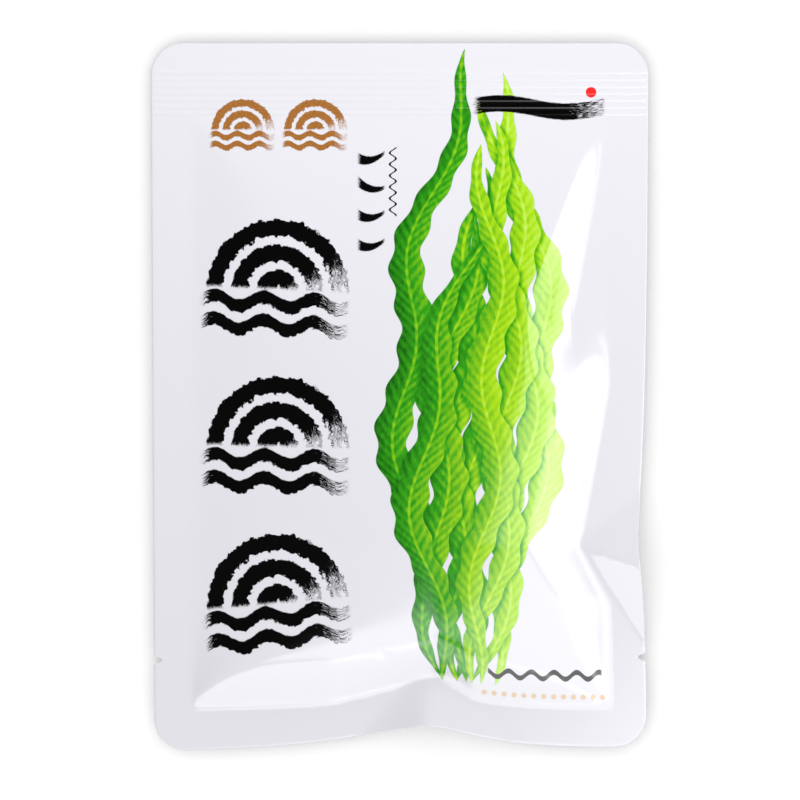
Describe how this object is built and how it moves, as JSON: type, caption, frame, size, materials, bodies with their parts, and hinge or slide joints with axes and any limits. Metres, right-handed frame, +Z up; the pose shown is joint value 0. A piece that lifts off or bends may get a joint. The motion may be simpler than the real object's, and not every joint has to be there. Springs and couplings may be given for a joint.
{
  "type": "sealed pouch of salted sea grapes",
  "caption": "Flat heat-sealed laminate pouch with a ribbed top seal and tear notches, lying on its back, filled with salted sea grapes seaweed.",
  "frame": {"origin": "under the middle of the pouch's outline, on the surface that it lies on", "axes": "+Z up out of the front, +Y towards the ribbed top seal, +X to the right as the front is read"},
  "size_m": [0.1298, 0.1845, 0.0101],
  "materials": {
    "front_film": "glossy white printed laminate",
    "back_film": "glossy white laminate",
    "seaweed": "wet green seaweed"
  },
  "bodies": {
    "root": {"front_film": "front_film", "back_film": "back_film", "sea_grape_frond_1": "seaweed", "sea_grape_frond_2": "seaweed", "sea_grape_frond_3": "seaweed", "sea_grape_frond_4": "seaweed", "sea_grape_frond_5": "seaweed", "sea_grape_frond_6": "seaweed"}
  },
  "joints": []
}
